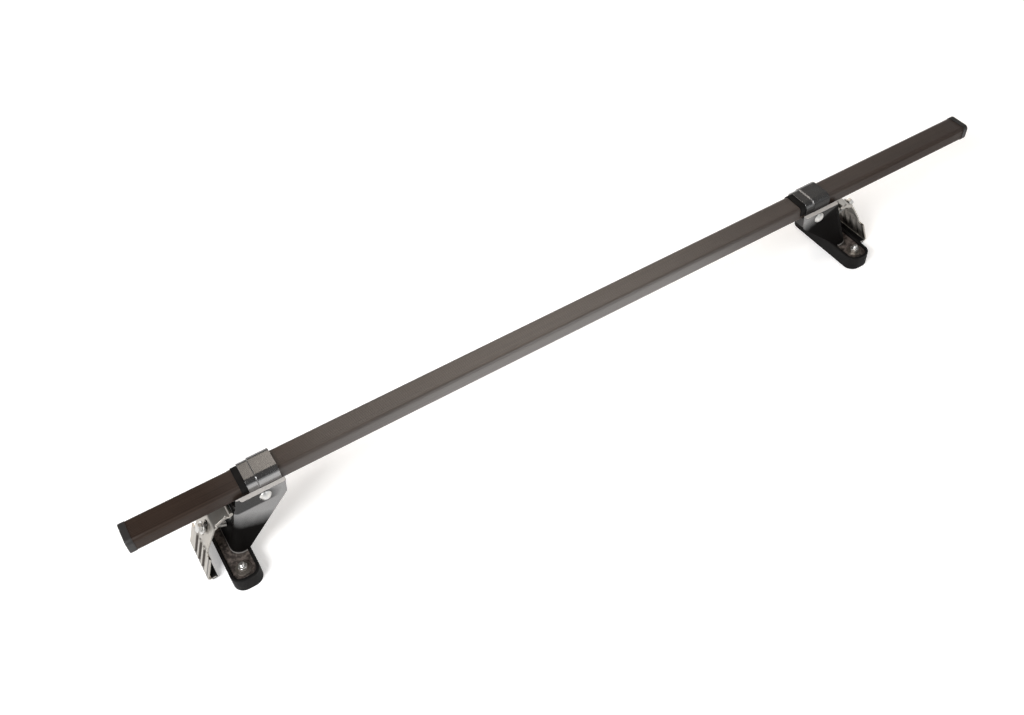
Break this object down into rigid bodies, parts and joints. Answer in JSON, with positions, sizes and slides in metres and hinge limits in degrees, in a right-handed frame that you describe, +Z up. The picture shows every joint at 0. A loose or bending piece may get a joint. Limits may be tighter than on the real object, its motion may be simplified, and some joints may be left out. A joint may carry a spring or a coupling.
{
  "type": "roof rack crossbar",
  "caption": "Black rectangular steel crossbar strapped to clamp-on feet with pressed towers, rubber pads and ribbed hook clips that a bolt draws in under the roof edge.",
  "frame": {"origin": "on the roof plane under the middle of the bar, midway between the bar's two ends", "axes": "+X along the bar towards the end with the longer overhang, +Y towards the bolts' nuts, +Z up"},
  "size_m": [1.27, 0.129, 0.1254],
  "materials": {
    "bar_coat": "satin black grained coat",
    "cap_plastic": "matte moulded",
    "bracket_paint": "gloss black",
    "strap_paint": "satin black",
    "clip_paint": "gloss black",
    "liner_rubber": "matte",
    "rest_plastic": "matte moulded",
    "pad_rubber": "matte moulded",
    "sleeve_rubber": "matte",
    "zinc": "bright zinc plate"
  },
  "bodies": {
    "bar": {"crossbar_tube": "bar_coat", "left_end_cap": "cap_plastic", "right_end_cap": "cap_plastic"},
    "left_foot": {"left_tower": "bracket_paint", "left_bar_strap": "strap_paint", "left_strap_liner": "liner_rubber", "left_bar_rest": "rest_plastic", "left_clamp_bolt": "zinc", "left_clamp_washer": "zinc", "left_clamp_nut": "zinc", "left_foot_pad": "pad_rubber", "left_pad_studs": "zinc", "left_pad_washers": "zinc", "left_pad_nuts": "zinc", "left_swivel_nut": "zinc"},
    "left_clip": {"left_roof_clip": "clip_paint", "left_hook_sleeve": "sleeve_rubber"},
    "left_washer": {"left_dome_washer": "zinc"},
    "left_bolt": {"left_tension_bolt": "zinc"},
    "right_foot": {"right_tower": "bracket_paint", "right_bar_strap": "strap_paint", "right_strap_liner": "liner_rubber", "right_bar_rest": "rest_plastic", "right_clamp_bolt": "zinc", "right_clamp_washer": "zinc", "right_clamp_nut": "zinc", "right_foot_pad": "pad_rubber", "right_pad_studs": "zinc", "right_pad_washers": "zinc", "right_pad_nuts": "zinc", "right_swivel_nut": "zinc"},
    "right_clip": {"right_roof_clip": "clip_paint", "right_hook_sleeve": "sleeve_rubber"},
    "right_washer": {"right_dome_washer": "zinc"},
    "right_bolt": {"right_tension_bolt": "zinc"}
  },
  "joints": [
    {"name": "left_foot_slide", "type": "slide", "parent": "bar", "child": "left_foot", "axis": [1, 0, 0], "range_m": [-0.12, 0.3]},
    {"name": "left_clip_swing", "type": "hinge", "parent": "left_foot", "child": "left_clip", "pos_m": [-0.52084, 0, 0.088], "axis": [0, 1, 0], "range_deg": [-6, 12]},
    {"name": "left_washer_travel", "type": "slide", "parent": "left_foot", "child": "left_washer", "axis": [-0.866, 0, 0.5], "range_m": [-0.0045, 0.009]},
    {"name": "left_bolt_turn", "type": "hinge", "parent": "left_washer", "child": "left_bolt", "pos_m": [-0.55243, 0, 0.0619], "axis": [-0.866, 0, 0.5], "range_deg": [-1540, 3060]},
    {"name": "right_foot_slide", "type": "slide", "parent": "bar", "child": "right_foot", "axis": [1, 0, 0], "range_m": [-0.2, 0.24]},
    {"name": "right_clip_swing", "type": "hinge", "parent": "right_foot", "child": "right_clip", "pos_m": [0.39884, 0, 0.088], "axis": [0, -1, 0], "range_deg": [-6, 12]},
    {"name": "right_washer_travel", "type": "slide", "parent": "right_foot", "child": "right_washer", "axis": [0.866, 0, 0.5], "range_m": [-0.0045, 0.009]},
    {"name": "right_bolt_turn", "type": "hinge", "parent": "right_washer", "child": "right_bolt", "pos_m": [0.43043, 0, 0.0619], "axis": [0.866, 0, 0.5], "range_deg": [-1540, 3060]}
  ],
  "couplings": [
    {"joint": "left_washer_travel", "follows": "left_clip_swing", "m_per_rad": 0.04},
    {"joint": "left_bolt_turn", "follows": "left_clip_swing", "ratio": 251.33},
    {"joint": "right_washer_travel", "follows": "right_clip_swing", "m_per_rad": 0.04},
    {"joint": "right_bolt_turn", "follows": "right_clip_swing", "ratio": 251.33}
  ]
}
